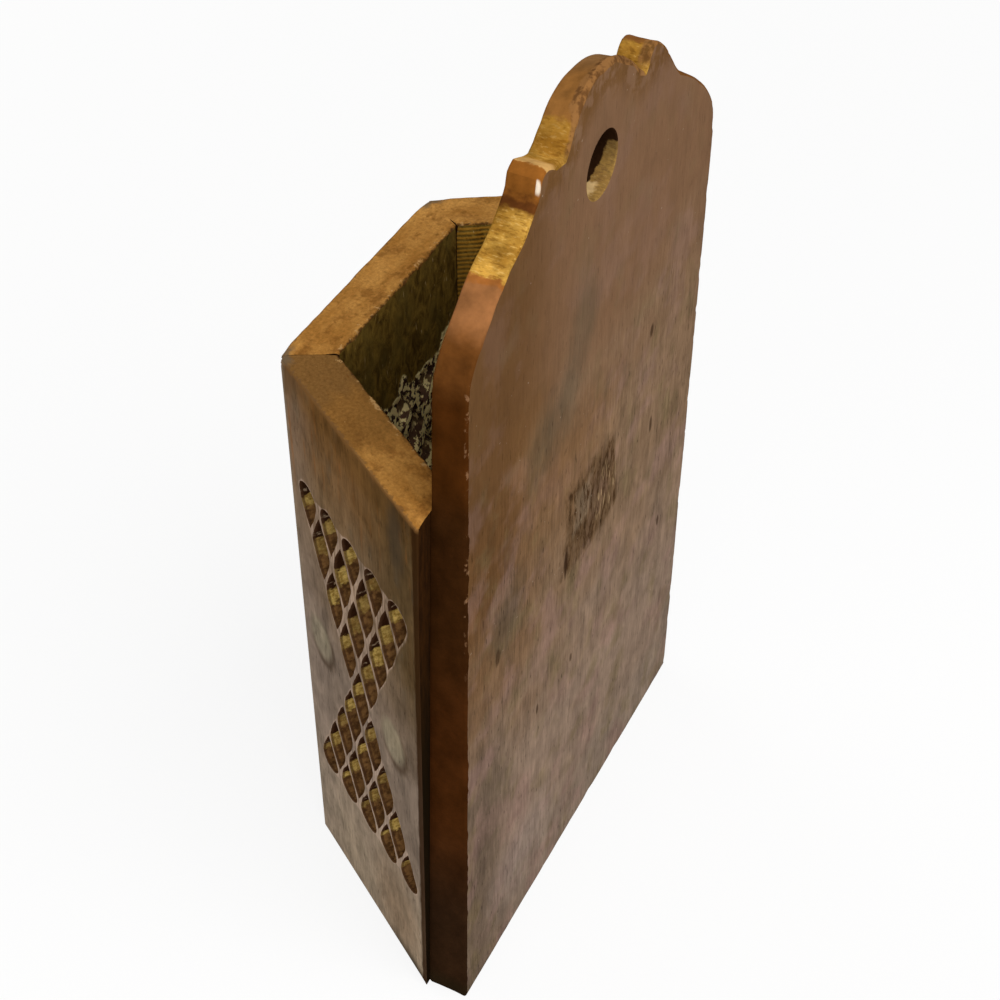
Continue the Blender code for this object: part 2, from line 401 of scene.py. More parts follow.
def cell_outline(centre, cap_side):
    """One pierced cell: pointed at both ends, or round at the end that cap_side gives as 1 or -1."""
    half_width = CELL_WIDTH / 2
    outline = []
    for side in (1, -1):
        for step in range(2 * CELL_QUARTER_STEPS):
            up = side * (step / CELL_QUARTER_STEPS - 1)
            if up * cap_side > 0:
                across = half_width * math.cos(QUARTER_TURN * up)
                rise = END_ROW_CAP_HEIGHT * math.sin(QUARTER_TURN * up)
            else:
                across = half_width * (1 - abs(up) ** CELL_FULLNESS)
                rise = up * CELL_HEIGHT / 2
            outline.append(centre + Vector((side * across, rise)))
    return outline


def lattice_cells():
    last_row = CELLS_IN_END_ROW - 1
    for row in range(-last_row, last_row + 1):
        cap_side = row // last_row if abs(row) == last_row else 0
        up = row * (UPPER_ROW_STEP if row > 0 else LOWER_ROW_STEP)
        for index in range(abs(row) + 1):
            across = (index - abs(row) / 2) * CELL_PITCH
            yield Vector((across, up)), cap_side


def lattice_edges(middle_across, clear_half_width, seed):
    edges = []
    for centre, cap_side in lattice_cells():
        runs_out = abs(centre.x) + CELL_WIDTH / 2 > clear_half_width
        place = Vector((middle_across, RIM_HEIGHT / 2)) + centre
        outline = cell_outline(place, cap_side)
        for point in outline:
            sideways = wobble((point.x, 0, point.y), 3, seed)
            upwards = wobble((point.x, 5, point.y), 3, seed)
            point += Vector((sideways, upwards)) * 0.25 * MM
        torn = []
        for point in outline:
            share = 0.84 + 0.22 * wobble((point.x, 7, point.y), 1.5, seed)
            torn.append(place + (point - place) * share)
        edge = Edge(outline, torn, is_hole=True, blind=BLIND_CELL_DEPTH if runs_out else None)
        lowest = min(point.y for point in outline)
        highest = max(point.y for point in outline)
        edge.local = [(len(edges) + seed, (point.y - lowest) / (highest - lowest), 0) for point in outline]
        edge.front_round = lambda place: 0.22 * MM
        edge.back_round = lambda place: (0.3 + 0.12 * wobble((place.x, 3, place.y), 1.3, seed)) * MM
        edge.back_tear = lambda place: 1 + 6 * max(0, wobble((place.x, 6, place.y), 1.7, seed))
        edge.rough = lambda place: 0.1 * MM
        edges.append(edge)
    return edges


def is_on_rim(place):
    return place.y > RIM_HEIGHT - TOLERANCE


def rim_round(from_corner):
    """Radius of a wall's outer arris: worn along the rim, and most of all at the outer corner."""

    def radius(place):
        if not is_on_rim(place):
            return 0.35 * MM
        worn = 0.45 + 0.3 * wobble((place.x, 0, place.y), 3, 8)
        return (worn + max(0, 1 - from_corner(place) / (5 * MM))) * MM

    return radius


def inner_rim_round(place):
    """Radius of a wall's inner arris: chipped along the rim."""
    if not is_on_rim(place):
        return 0.12 * MM
    return (0.3 + 1.3 * max(0, wobble((place.x, 4, place.y), 2.4, 9))) * MM


def wall_kind(loop):
    """The rim is material 2, the rounded corners keep the face's 0, and the ends and the underside are 4."""

    def kind_at(index, level):
        pair = (loop[index], loop[(index + 1) % len(loop)])
        if all(is_on_rim(point) for point in pair):
            return 2 if level else 0
        return 0 if level < ARRIS_STEPS else 4

    return kind_at


def corner_round(end, direction):
    """The rounded outer corner at a mitred end: direction is 1 where the wood lies on the +across side."""
    reach = CORNER_ROUND * math.tan(MITRE_ANGLE)

    def bend(point, place, depth, share):
        if abs(point.x - end) > TOLERANCE:
            return place, depth
        angle = MITRE_ANGLE * share
        drawn_in = reach - CORNER_ROUND * math.sin(angle)
        bent_depth = CORNER_ROUND * (1 - math.cos(angle))
        if is_on_rim(point):
            bent_depth = max(bent_depth, depth)
            drawn_in = max(drawn_in, bent_depth * math.tan(MITRE_ANGLE))
        return Vector((end + direction * drawn_in, place.y)), bent_depth

    return bend


def make_front_wall(materials):
    outer = FRONT_WIDTH / 2 - SEAM / 2
    inner = outer - WALL_THICKNESS * math.tan(MITRE_ANGLE)
    corners = ((-outer, 0), (outer, 0), (outer, RIM_HEIGHT), (-outer, RIM_HEIGHT))
    front = closed_steps([Vector(corner) for corner in corners], *WALL_STEPS)
    back = [Vector((point.x * inner / outer, point.y)) for point in front]
    edge = Edge(front, back)
    edge.front_round = rim_round(lambda place: outer - abs(place.x))
    edge.rough = lambda place: 0 if abs(place.x) > outer - TOLERANCE else 0.06 * MM
    edge.back_round = inner_rim_round
    edge.kind_at = wall_kind(front)
    left = corner_round(-outer, 1)
    right = corner_round(outer, -1)
    edge.corner = lambda point, *bent: (left if point.x < 0 else right)(point, *bent)

    def to_space(across, depth, up):
        return (across, BOX_FRONT_Y + depth, up)

    edges = [edge, *lattice_edges(0, inner, 31)]
    return build_piece("pierced_front", edges, lambda height: WALL_THICKNESS, to_space, materials, 37)


def glued_round(place):
    """Radius of a side wall's outer arris along the board: sharp, and rounder in the last part below the rim."""
    below_rim = (RIM_HEIGHT - place.y) / (22 * MM)
    return (0.1 + 0.4 * max(0, 1 - below_rim)) * MM


def make_side_wall(name, side, materials, seed):
    # The right mitre shows its seam, and the left one is nearly closed
    gap = SEAM / 2 if side > 0 else -0.4 * SEAM

    def end_across(height, depth):
        glue_y = BACK_Y - board_thickness(height) - SEAM / 4
        return (glue_y - BOX_FRONT_Y - depth * WALL_INWARD.y) / WALL_ALONG.y

    def corners(depth):
        start = gap + depth * math.tan(MITRE_ANGLE)
        return [
            Vector((start, 0)), Vector((end_across(0, depth), 0)),
            Vector((end_across(RIM_HEIGHT, depth), RIM_HEIGHT)), Vector((start, RIM_HEIGHT)),
        ]

    def is_glued(place):
        return place.x > end_across(place.y, 0) - TOLERANCE

    front = closed_steps(corners(0), *WALL_STEPS)
    outer_start = corners(0)[0].x
    inner_start = corners(WALL_THICKNESS)[0].x
    back = []
    for point in front:
        share = (point.x - outer_start) / (end_across(point.y, 0) - outer_start)
        inner_end = end_across(point.y, WALL_THICKNESS)
        back.append(Vector((inner_start + share * (inner_end - inner_start), point.y)))
    edge = Edge(front, back)
    worn_rim = rim_round(lambda place: place.x - outer_start)
    edge.front_round = lambda place: glued_round(place) if is_glued(place) else worn_rim(place)
    edge.rough = lambda place: 0 if is_glued(place) or place.x < outer_start + TOLERANCE else 0.06 * MM
    edge.back_round = inner_rim_round
    edge.corner = corner_round(outer_start, 1)
    edge.kind_at = wall_kind(front)

    def to_space(across, depth, up):
        place = OUTER_CORNER + across * WALL_ALONG + depth * WALL_INWARD
        return (side * place.x, place.y, up)

    full_length = end_across(RIM_HEIGHT / 2, 0) + GLUE_GAP / WALL_ALONG.y
    slope = 1 / math.tan(SIDE_WALL_ANGLE)
    edges = [edge, *lattice_edges(full_length / 2, full_length / 2 - WALL_THICKNESS * slope, seed)]
    return build_piece(name, edges, lambda height: WALL_THICKNESS, to_space, materials, seed)


def make_floor_board(materials):
    inner_corner = OUTER_CORNER + WALL_THICKNESS * Vector((-math.tan(MITRE_ANGLE), 1))
    front = inner_corner.y + GLUE_GAP
    side_gap = GLUE_GAP / WALL_ALONG.y

    def half_at(y):
        return inner_corner.x + (y - inner_corner.y) / math.tan(SIDE_WALL_ANGLE) - side_gap

    def plan(height):
        back = BACK_Y - board_thickness(height) - GLUE_GAP
        return [Vector((side * half_at(y), y)) for side, y in ((-1, front), (1, front), (1, back), (-1, back))]

    edge = Edge(*[closed_steps(plan(height), 2 * EDGE_STEP) for height in (FLOOR_THICKNESS, 0)])

    def to_space(across, depth, up):
        return (across, up, FLOOR_THICKNESS - depth)

    return build_piece("box_floor", [edge], lambda height: FLOOR_THICKNESS, to_space, materials, 71)


# Materials

# In millimetres, as all in the materials
SAW_MARK_PITCH = 1.05
BOARD_SIDE_AT_FOOT = 54.1
BOARD_SIDE_LEAN = 0.0155
WALL_END_AT_FOOT = 50.1
WALL_END_LEAN = 0.0178


def linear(tone):
    """The socket of a Colour, or the linear light of a tone given as a screen shows it, 0 to 255."""
    if isinstance(tone, Colour):
        return tone.socket
    shares = [value / 255 for value in tone]
    return (*[share / 12.92 if share < 0.04045 else ((share + 0.055) / 1.055) ** 2.4 for share in shares], 1)


def set_inputs(tree, node, inputs):
    """Sets a node's inputs, each to a constant, another node's output, or what holds one as its socket."""
    for key, value in inputs.items():
        value = getattr(value, "socket", value)
        if isinstance(value, bpy.types.NodeSocket):
            tree.links.new(value, node.inputs[key])
        else:
            node.inputs[key].default_value = value


def add_node(tree, kind, inputs, output=0, **settings):
    """Adds a shader node and returns one of its outputs, if it has any."""
    node = tree.nodes.new("ShaderNode" + kind)
    for key, value in settings.items():
        setattr(node, key, value)
    set_inputs(tree, node, inputs)
    return node.outputs[output] if len(node.outputs) else None


def by_node(operation):
    return lambda self, *others: self.shade.math(operation, self, *others)


class Value:
    """A number that varies over the wood. Arithmetic with it adds nodes."""

    def __init__(self, shade, socket):
        self.shade = shade
        self.socket = socket

    __add__ = by_node("ADD")
    __sub__ = by_node("SUBTRACT")
    __mul__ = __rmul__ = by_node("MULTIPLY")
    __abs__ = by_node("ABSOLUTE")
    sine = by_node("SINE")

    def __rsub__(self, other):
        return self.shade.math("SUBTRACT", other, self)

    def ease(self, low, high):
        """0 where the value is at low and 1 where it is at high, smoothly."""
        inputs = {"Value": self, "From Min": low, "From Max": high}
        return self.shade.value("MapRange", inputs, interpolation_type="SMOOTHSTEP")

    def spread(self, amount):
        """Turns noise from 0 to 1 into noise from 1 - amount to 1 + amount."""
        return (self - 0.5) * (2 * amount) + 1


class Colour:
    """A colour of the wood, changed in place. A tone is given as a screen shows it, or is another Colour."""

    def __init__(self, shade, tone):
        self.shade = shade
        self.socket = linear(tone)

    def tint(self, mask, tone):
        """Takes the colour towards the tone, by a share of 0 to 1."""
        inputs = {0: mask, 6: self, 7: linear(tone)}
        self.socket = self.shade.value("Mix", inputs, 2, data_type="RGBA", clamp_factor=True).socket

    def spots(self, tone, *places, ragged=0.9, soft=0.7):
        """The same in spots, each given by its middle, its half sizes and its share."""
        for centre, half, share in places:
            self.tint(self.shade.spot(centre, half, ragged, soft) * share, tone)

    def blotch(self, tone, share, levels, waves, seed, **settings):
        """The same in blotches, which noise starts at the first level and fills at the second."""
        self.tint(self.shade.noise(waves, seed, **settings).ease(*levels) * share, tone)

    def dim(self, factor):
        self.socket = self.shade.value("VectorMath", {0: self, "Scale": factor}, operation="SCALE").socket


class Shade:
    """One wood material in the making, in the wood's own coordinates in millimetres."""

    def __init__(self, name):
        self.material = bpy.data.materials.new(name)
        self.material.use_nodes = True
        self.tree = self.material.node_tree
        self.wood = self.attribute("wood", "Vector")
        self.across, self.depth, self.up = self.split("wood")

    def value(self, kind, inputs, output=0, **settings):
        return Value(self, add_node(self.tree, kind, inputs, output, **settings))

    def attribute(self, name, output):
        return self.value("Attribute", {}, output, attribute_name=name)

    def split(self, name):
        parts = add_node(self.tree, "SeparateXYZ", {0: self.attribute(name, "Vector")}).node.outputs
        return [Value(self, part) for part in parts]

    def math(self, operation, *values):
        return self.value("Math", dict(enumerate(values)), operation=operation)

    def from_hole(self, depth):
        """The way from the middle of the hanging hole at that depth."""
        middle = (HOLE_CENTRE.x / MM, depth, HOLE_CENTRE.y / MM)
        return self.value("VectorMath", {0: self.wood, 1: middle}, "Value", operation="DISTANCE")

    def noise(self, waves, seed, detail=3, roughness=0.55, distortion=0):
        """Noise from 0 to 1 with waves of about one size, or of three: across, into and up the wood."""
        scales = [1 / wave for wave in (waves if isinstance(waves, tuple) else 3 * (waves,))]
        scaled = self.value("VectorMath", {0: self.wood, 1: scales}, operation="MULTIPLY")
        moved = self.value("VectorMath", {0: scaled, 1: [seed * 5.3, seed * 2.9, seed * 8.1]})
        inputs = {"Vector": moved, "Scale": 1, "Detail": detail, "Roughness": roughness, "Distortion": distortion}
        return self.value("TexNoise", inputs, "Fac")

    def sway(self, waves, seed, amount):
        """Noise round 0, half the amount to either side."""
        return (self.noise(waves, seed) - 0.5) * amount

    def spot(self, centre, half, ragged=0, soft=0.35):
        """1 inside an ellipse on the face and 0 outside, with an edge that noise can make ragged."""
        squares = []
        for value, middle, reach in zip((self.across, self.up), centre, half):
            offset = (value - middle) * (1 / reach)
            squares.append(offset * offset)
        distance = self.math("SQRT", squares[0] + squares[1])
        if ragged:
            distance = distance + self.sway((1.2, 1.2, 3), sum(centre), ragged)
        return distance.ease(1 + soft, 1 - soft)

    def block(self, low, high, ragged, soft):
        """1 inside an upright rectangle on the face, with a ragged edge."""
        sway = self.sway((2.2, 2.2, 3.5), low[0], ragged)
        mask = 1
        for value, start, end in zip((self.across, self.up), low, high):
            inside = self.math("MINIMUM", value - start, end - value)
            mask = mask * (inside + sway).ease(-soft, soft)
        return mask

    def done(self, colour, roughness, height):
        """Finishes the material. Height is the relief in millimetres."""
        bump = self.value("Bump", {"Height": height, "Distance": MM})
        inputs = {"Base Color": colour, "Roughness": roughness, "Specular IOR Level": 0, "Normal": bump}
        set_inputs(self.tree, self.tree.nodes["Principled BSDF"], inputs)
        return self.material


class Grain:
    """Upright grain: slow streaks, fine lines, short dark pores and wide clouds, each 0 to 1."""

    def __init__(self, shade, seed):
        self.shade = shade
        self.streaks = shade.noise((5, 9, 32), seed, detail=5, roughness=0.62, distortion=0.8)
        self.lines = shade.noise((0.6, 3, 8), seed + 1, detail=4, roughness=0.7)
        self.pores = shade.noise((0.5, 2, 2.6), seed + 2, detail=1).ease(0.66, 0.76)
        self.clouds = shade.noise((26, 20, 15), seed + 3, detail=4)

    def mark(self, colour, strength, mottling=1.5):
        """Puts the grain's light and dark on a colour."""
        mottle = self.shade.noise((4.5, 5, 7), 33, roughness=0.6, distortion=0.4)
        tone = (self.streaks - 0.5) * 0.7 + (self.lines - 0.5) * 1.1 + (mottle - 0.5) * mottling - self.pores * 0.4
        colour.dim(tone * strength + 1)

    def relief(self, depth=0.03):
        return self.lines * depth - self.pores * (1.5 * depth)


def add_chip(shade, colour):
    """The pale chip on the back arris beside the notch under the hump."""
    chip = shade.spot((27.1, 191.6), (0.55, 1.5), ragged=0.5) * shade.depth.ease(0.8, 0.6)
    colour.tint(chip, (216, 200, 178))


def board_back_material():
    """The face that hangs on the wall: thin worn varnish, paler towards the foot partly through painted sheen, with an
    old label's residue.
    """
    shade = Shade("board_back_stained")
    grain = Grain(shade, 1)
    drift = (grain.clouds - 0.5) * 60
    height = shade.up + drift
    colour = Colour(shade, (114, 85, 62))
    # Paler and greyer towards the foot: partly worn varnish, partly painted sheen.
    colour.tint(height.ease(165, 100), (120, 96, 74))
    colour.tint(height.ease(100, 40), (128, 108, 92))
    colour.tint(height.ease(30, 5), (126, 109, 94))
    near_foot = (shade.across + drift * 0.12).ease(29, 47) * height.ease(92, 62)
    colour.tint(near_foot * 0.9, (96, 80, 66))
    near_edge = (shade.across + drift * 0.3).ease(8, 38)
    colour.tint(near_edge * height.ease(55, 125), (94, 66, 40))
    lower = height.ease(165, 100) * 0.7 + 0.3
    colour.blotch((132, 104, 94), lower * 0.5, (0.48, 0.68), (13, 13, 12), 7, detail=4)
    colour.blotch((104, 90, 62), lower * 0.5, (0.5, 0.7), (9, 9, 10), 9, detail=4)
    hump = shade.from_hole(0) + shade.noise(5, 12) * 4
    rubbed = hump.ease(12, 18) * shade.up.ease(184, 190)
    colour.blotch((98, 68, 38), rubbed * 0.85, (0.4, 0.56), (3, 3, 4), 13, roughness=0.6)
    colour.spots(
        (86, 74, 58), ((23, 135), (6, 8), 0.75), ((12.4, 138), (4, 9), 0.6), ((36, 103), (6, 8), 0.6),
        ((6.5, 152), (5, 9), 0.5), ((39, 50), (6, 13), 0.35),
    )
    colour.spots((112, 80, 48), ((10, 119), (16, 13), 0.5), ((29, 139), (8, 12), 0.35))
    colour.spots((136, 122, 114), ((28, 21), (13, 10), 0.35))
    flaky = shade.noise((1.3, 1.3, 4.5), 15, detail=4, roughness=0.7)
    amount = add_residue(shade, colour, flaky)
    colour.spots((44, 28, 18), ((10.6, 94.3), (0.7, 4.2), 0.85), ragged=0.7, soft=0.35)
    colour.spots(
        (52, 36, 24), ((-26.5, 126), (0.8, 1.6), 0.7), ((-39.4, 63), (0.6, 1.5), 0.7), ((40, 95.6), (0.9, 2.2), 0.7),
        ((-30, 99), (0.6, 2.2), 0.7), ((22, 62), (0.5, 1.4), 0.7), ((6, 62), (0.5, 1.2), 0.7), ragged=0.5, soft=0.35,
    )
    grain.mark(colour, lower, 1)
    edge_gap = BOARD_SIDE_AT_FOOT - shade.up * BOARD_SIDE_LEAN - abs(shade.across)
    nicked = edge_gap.ease(1.3, 0.5) * nicked_heights(shade)
    colour.blotch((158, 126, 98), nicked * 0.4, (0.6, 0.66), (2, 2, 1.6), 21, detail=1)
    add_chip(shade, colour)
    colour.blotch((160, 142, 122), 0.4, (0.84, 0.88), 0.9, 23, detail=0)
    return shade.done(colour, grain.clouds * 0.25 + 0.34, grain.relief() + amount * flaky * 0.12)


def add_residue(shade, colour, flaky):
    """The flaking rest of an old label on the board's back. Returns how much of it lies where."""
    leaning_side = shade.across - shade.up * 0.167 + flaky * 1.6
    residue = shade.block((-13.6, 89.8), (11.6, 112.3), 7.5, 1.9) * leaning_side.ease(-29, -27.4)
    patch = Colour(shade, (88, 66, 44))
    patch.tint(shade.block((0, 99.5), (7.2, 109.5), 6, 1.6), (110, 92, 72))
    patch.tint(shade.spot((-4, 99.5), (4.5, 4.5), 0.6, 0.4) * 0.7, (90, 68, 52))
    patch.tint(flaky.ease(0.48, 0.64), (58, 40, 24))
    scratched = shade.spot((-8, 100), (5.5, 7), 0.8)
    patch.blotch((164, 136, 100), scratched * 0.8, (0.52, 0.64), (0.6, 0.6, 4), 17, detail=2)
    amount = residue * (flaky.ease(0.25, 0.6) * 0.55 + 0.4)
    colour.tint(amount, patch)
    return amount


def nicked_heights(shade):
    """Where the board's long back arris is nicked."""
    return shade.up.ease(176, 168) * shade.up.ease(95, 125)


def board_front_material():
    """The face that shows in use: warm varnish with handling wear above the box, and dusty rough wood inside it."""
    shade = Shade("board_front_stained")
    grain = Grain(shade, 151)
    height = shade.up + (grain.clouds - 0.5) * 40
    colour = Colour(shade, (126, 86, 48))
    colour.tint(height.ease(190, 150), (110, 76, 44))
    colour.tint(height.ease(140, 60), (92, 68, 44))
    colour.blotch((132, 78, 38), 0.55, (0.48, 0.68), (11, 9, 26), 152, detail=4)
    colour.blotch((78, 58, 40), 0.6, (0.52, 0.72), (8, 9, 20), 153, detail=4)
    handled = shade.from_hole(BOARD_TOP_THICKNESS / MM) + shade.noise((3, 3, 5), 154) * 5
    colour.tint(handled.ease(13, 8) * 0.6, (152, 112, 66))
    over_box = abs(shade.across) + (grain.streaks - 0.5) * 2
    kept = over_box.ease(44, 42) * shade.up.ease(141, 138.5)
    colour.tint(kept * 0.75, (96, 78, 46))
    colour.blotch((160, 124, 78), 0.5, (0.68, 0.76), (0.5, 1, 7), 155, detail=2, distortion=0.6)
    grain.mark(colour, 0.9)
    colour.blotch((58, 40, 26), 0.5, (0.74, 0.8), 1.4, 156, detail=1)
    return shade.done(colour, grain.clouds * 0.22 + 0.34 + kept * 0.25, grain.relief())


def wall_face_material(name, seed, is_side):
    """A pierced wall's outer face: warm under the rim, greyer and paler below partly through painted sheen, with two
    round marks.
    """
    shade = Shade(name)
    grain = Grain(shade, seed)
    drift = (grain.clouds - 0.5) * 30
    height = shade.up + drift
    colour = Colour(shade, (106, 74, 40))
    # Greyer and paler below: partly the wood's own tone, partly painted sheen.
    colour.tint(height.ease(138, 108), (110, 88, 64))
    colour.tint(height.ease(110, 66), (120, 104, 90))
    colour.tint(height.ease(50, 10), (144, 127, 107))
    if is_side:
        near_board = (shade.across + drift * 0.2).ease(26, 46) * height.ease(60, 105)
        colour.tint(near_board * 0.85, (78, 60, 36))
        colour.tint(shade.across.ease(16, 3) * 0.25, (140, 124, 112))
        colour.spots((118, 92, 68), ((38, 13), (9, 13), 0.5))
        colour.spots((118, 100, 84), ((41, 82), (7, 14), 0.3), soft=0.6)
    colour.blotch((124, 78, 38), height.ease(90, 132) * 0.55, (0.54, 0.7), (2.2, 9, 15), seed + 6)
    colour.blotch((94, 84, 68), 0.35, (0.56, 0.72), (5, 9, 13), seed + 7)
    places, pale, dark, handling = ((9.2, 40.5), 0.4, 0.7, 0.4) if is_side else ((-15.6, 15.6), 0.2, 0.5, 0.25)
    for across in places:
        disc = shade.spot((across, 70.5), (5.2, 6.4), 0.25, 0.2)
        inner_disc = shade.spot((across - 0.8, 71.7), (4.6, 5.6), 0.2, 0.25)
        colour.tint(inner_disc * pale, (146, 138, 112))
        # The dark crescent at one side of each round mark, where the inner disc leaves it, is painted shade.
        colour.tint(disc * (1 - inner_disc) * dark, (66, 50, 36))
    bars = shade.attribute("opening", "Fac").ease(0.86, 1)
    colour.tint(bars * (grain.lines.ease(0.35, 0.6) * 0.45 + 0.1), (176, 152, 134))
    colour.tint((shade.up + drift * 0.35).ease(129, 137) * 0.6, (86, 60, 30))
    grain.mark(colour, 0.85)
    if is_side:
        # Painted contact shadow along the foot of the side wall, towards the board.
        painted_contact_shadow = (shade.up + drift * 0.1).ease(5, 0.5) * shade.across.ease(30, 44)
        colour.tint(painted_contact_shadow * 0.75, (50, 42, 28))
        colour.spots((62, 54, 44), ((44.5, 130), (2.6, 9), 0.5), ragged=0.8, soft=0.5)
        to_board = WALL_END_AT_FOOT - shade.across + shade.up * WALL_END_LEAN
        strip = (to_board + shade.sway((0.8, 2, 4), seed + 8, 1.2)).ease(2.2, 1.3)
        colour.tint(strip * 0.9, (48, 28, 11))
    worn_height = shade.up + shade.noise((2, 2, 1.5), seed + 5) * 1.5
    colour.tint(worn_height.ease(139.4, 140.6), (112, 78, 42))
    handled = (from_corner(shade, is_side) + (grain.streaks - 0.5) * 5).ease(2.4, 0.6)
    colour.tint(handled * handling, (136, 124, 106))
    return shade.done(colour, grain.clouds * 0.2 + 0.36, grain.relief(0.025))


def from_corner(shade, is_side):
    """The way along a wall from the nearer outer corner."""
    return shade.across if is_side else FRONT_WIDTH / 2 / MM - abs(shade.across)


def inside_material(name, seed, saw_marks):
    """Rough dark sawn wood inside the box, torn pale round the cells."""
    shade = Shade(name)
    rough_grain = shade.noise((2.4, 3, 4.6), seed, detail=5, roughness=0.75, distortion=0.8)
    colour = Colour(shade, (68, 50, 18))
    colour.tint(rough_grain.ease(0.32, 0.68), (132, 106, 46))
    colour.blotch((92, 78, 36), 0.6, (0.45, 0.7), (6, 6, 12), seed + 1, detail=4, roughness=0.65)
    colour.blotch((196, 170, 122), 0.7, (0.68, 0.76), (0.7, 1, 4), seed + 2, detail=2, distortion=1)
    relief = rough_grain * 0.45
    if saw_marks:
        wander = shade.noise(16, seed + 3) * 2
        ripple = ((shade.up + wander) * (2 * math.pi / SAW_MARK_PITCH)).sine() * 0.5 + 0.5
        colour.tint(ripple * saw_marks, (206, 144, 46))
        relief = relief + ripple * 0.08
    reach = shade.attribute("opening", "Fac") + shade.sway(3, seed + 5, 1.2)
    torn = reach.ease(0.3, 0.55)
    flakes = shade.noise((1.7, 1.7, 2), seed + 4, roughness=0.6)
    splinters = Colour(shade, (62, 40, 30))
    splinters.tint(flakes.ease(0.44, 0.52), (255, 238, 172))
    colour.tint(torn, splinters)
    return shade.done(colour, 0.75, relief + torn * flakes * 0.5)


def rim_material(name, seed, is_side, dark_corner=False):
    """Sanded and varnished end grain on the rim."""
    shade = Shade(name)
    clouds = shade.noise((9, 4, 9), seed, detail=4, roughness=0.6)
    dots = shade.noise(0.7, seed + 1, roughness=0.7)
    colour = Colour(shade, (148, 101, 45))
    colour.tint(clouds.ease(0.3, 0.7), (176, 127, 64))
    colour.blotch((112, 70, 28), 0.6, (0.5, 0.64), (5, 4, 5), seed + 2, detail=5, roughness=0.65)
    if dark_corner:
        reach = shade.across + (clouds - 0.5) * 12
        colour.tint(reach.ease(36, 26) * 0.8, (116, 80, 38))
        colour.tint(reach.ease(19, 14) * 0.8, (112, 80, 42))
    colour.blotch((98, 60, 24), 0.5, (0.6, 0.7), (1.5, 1.3, 1.5), seed + 5, detail=4, roughness=0.7)
    colour.blotch((196, 150, 88), 0.45, (0.68, 0.76), 1.1, seed + 6)
    colour.dim(dots.spread(0.6))
    place = shade.depth + shade.sway(0.9, seed + 3, 2.2)
    colour.blotch((190, 152, 98), place.ease(8.3, 8.9) * 0.7, (0.55, 0.65), 1.2, seed + 7, detail=2)
    colour.tint(place.ease(9, 9.6) * 0.85, (62, 40, 20))
    colour.tint(place.ease(0.6, 0.1) * 0.7, (100, 72, 44))
    worn_corner = from_corner(shade, is_side).ease(4.5, 1.5) * place.ease(2.2, 1.2)
    colour.tint(worn_corner * 0.8, (98, 84, 66))
    return shade.done(colour, 0.42, dots * 0.05)


def sawn_end_colour(shade, seed):
    """Bare ochre wood across the thickness, with short dark dashes."""
    dashes = shade.noise((0.5, 1.8, 0.5), seed, roughness=0.65)
    fine = shade.noise((0.4, 0.9, 0.4), seed + 1, detail=2)
    colour = Colour(shade, (146, 104, 38))
    colour.blotch((170, 128, 54), 1, (0.35, 0.65), (3.2, 5, 3.2), seed + 2)
    colour.tint(dashes.ease(0.52, 0.66) * 0.65, (108, 70, 22))
    colour.tint(dashes.ease(0.45, 0.32) * 0.5, (204, 166, 96))
    colour.dim(fine.spread(0.3))
    return colour


def board_edge_material():
    """The board's sawn edge: dark stain low down with a painted contact shadow at the foot, orange at the shoulders,
    and bare ochre bands on the crest.
    """
    shade = Shade("board_edge_sawn")
    rag = shade.sway((1.6, 2.2, 1.6), 61, 3)
    place = shade.split("own")[0] + rag
    shaded = shade.up.ease(182.5, 191) * (shade.across.ease(-5, 5) * 0.3 + 0.7)
    bare = sawn_end_colour(shade, 63)
    bare.dim(1.11 - shaded * 0.36)
    bare.tint(shade.up.ease(190, 193) * shade.across.ease(-12, 0) * 0.3, (136, 86, 20))
    (_, foot_tone, _), *stops = crest_stops(bare)
    colour = Colour(shade, foot_tone)
    for length, tone, fade in stops:
        colour.tint(place.ease(length - fade, length + fade), tone)
    mottle = shade.noise((4.5, 5, 8), 65, detail=4, roughness=0.6)
    grit = shade.noise((0.8, 1.4, 0.8), 66, detail=2)
    colour.dim(mottle.spread(0.75) * grit.spread(0.14))
    arris = (shade.depth + rag * 0.1).ease(0.7, 0.3)
    colour.blotch((150, 112, 80), arris * nicked_heights(shade) * 0.5, (0.58, 0.68), (1.5, 1.2, 1.6), 67)
    # Painted contact shadow along the foot of the edge.
    colour.tint(shade.up.ease(7, 1) * 0.5, (32, 28, 16))
    scuff_depth = shade.across.ease(15.5, 12) * 1.5 + 0.8
    hump = shade.up.ease(190, 192) * shade.across.ease(19.5, 17.5)
    hump *= (shade.depth + rag * 0.5 - scuff_depth).ease(0, -0.6)
    scuffed = Colour(shade, (132, 92, 52))
    scuffed.blotch((88, 58, 32), 1, (0.42, 0.6), (1.6, 1.6, 2.2), 68, roughness=0.65)
    colour.tint(hump * 0.85, scuffed)
    add_chip(shade, colour)
    return shade.done(colour, 0.4, grit * 0.05)


def crest_stops(bare):
    """Tones along the board's outline from the foot up the +X side: where each begins, and how softly."""
    outline = board_outline()
    lengths = outline_lengths(outline)
    tones = (
        ((54, 10), (42, 26, 14), 0), ((53, 45), (60, 31, 10), 20), ((52.3, 100), (50, 27, 9), 15),
        ((51.8, 143), (62, 32, 8), 6), ((50.9, 167.5), (93, 55, 22), 4), ((46.4, 174.6), (134, 88, 51), 3),
        ((39.9, 181), (138, 84, 38), 0.5), ((38.9, 181.8), bare, 0.3), ((29.4, 187), (82, 46, 18), 0.7),
        ((27.8, 189.2), (128, 78, 29), 0.9), ((25.2, 193.5), (176, 136, 80), 0.3), ((21.8, 192.3), bare, 1.2),
        ((14, 196.1), (128, 86, 42), 0.6), ((3, 200.6), (126, 90, 54), 5), ((-13.8, 190.4), bare, 0.3),
        ((-17.2, 193.9), (112, 72, 34), 0.5), ((-31, 181.7), (104, 66, 32), 3), ((-50.5, 163), (90, 52, 20), 6),
        ((-51.8, 140), (56, 30, 11), 10),
    )
    return [(lengths[nearest(outline, Vector(place) * MM)], tone, fade) for place, tone, fade in tones]


